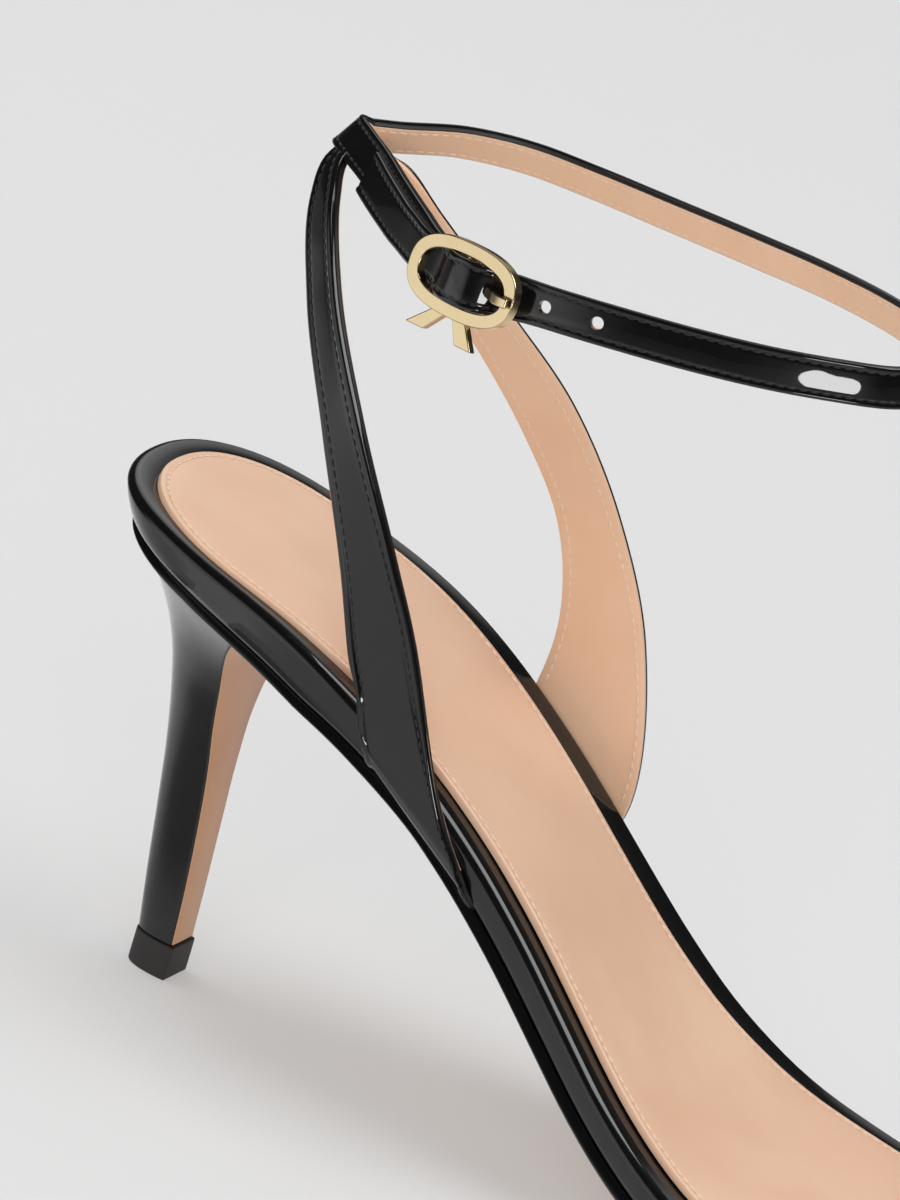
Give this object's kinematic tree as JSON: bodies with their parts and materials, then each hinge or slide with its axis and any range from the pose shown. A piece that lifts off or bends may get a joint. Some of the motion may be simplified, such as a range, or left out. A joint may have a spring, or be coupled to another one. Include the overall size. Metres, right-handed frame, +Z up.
{
  "type": "heeled sandal",
  "caption": "Open heeled sandal for the right foot: slim covered heel, arched sole, side straps joined to a buckled ankle strap, and a toe strap.",
  "frame": {"origin": "centre of the heel's tread, on the floor", "axes": "+X towards the toe, +Y towards the medial side of the right foot, +Z up from the floor"},
  "size_m": [0.2266, 0.0839, 0.1445],
  "materials": {
    "nude_leather": "smooth matte nude leather",
    "black_patent": "high gloss black patent leather",
    "dark_rubber": "matte",
    "pale_gold": "polished pale gold plate"
  },
  "bodies": {
    "root": {"outsole": "nude_leather", "platform_rand": "black_patent", "insole": "nude_leather", "heel": "black_patent", "heel_breast_cover": "nude_leather", "heel_top_piece": "dark_rubber", "ankle_upper": "black_patent", "toe_strap": "black_patent", "buckle_frame": "pale_gold", "buckle_prong": "pale_gold"}
  },
  "joints": []
}
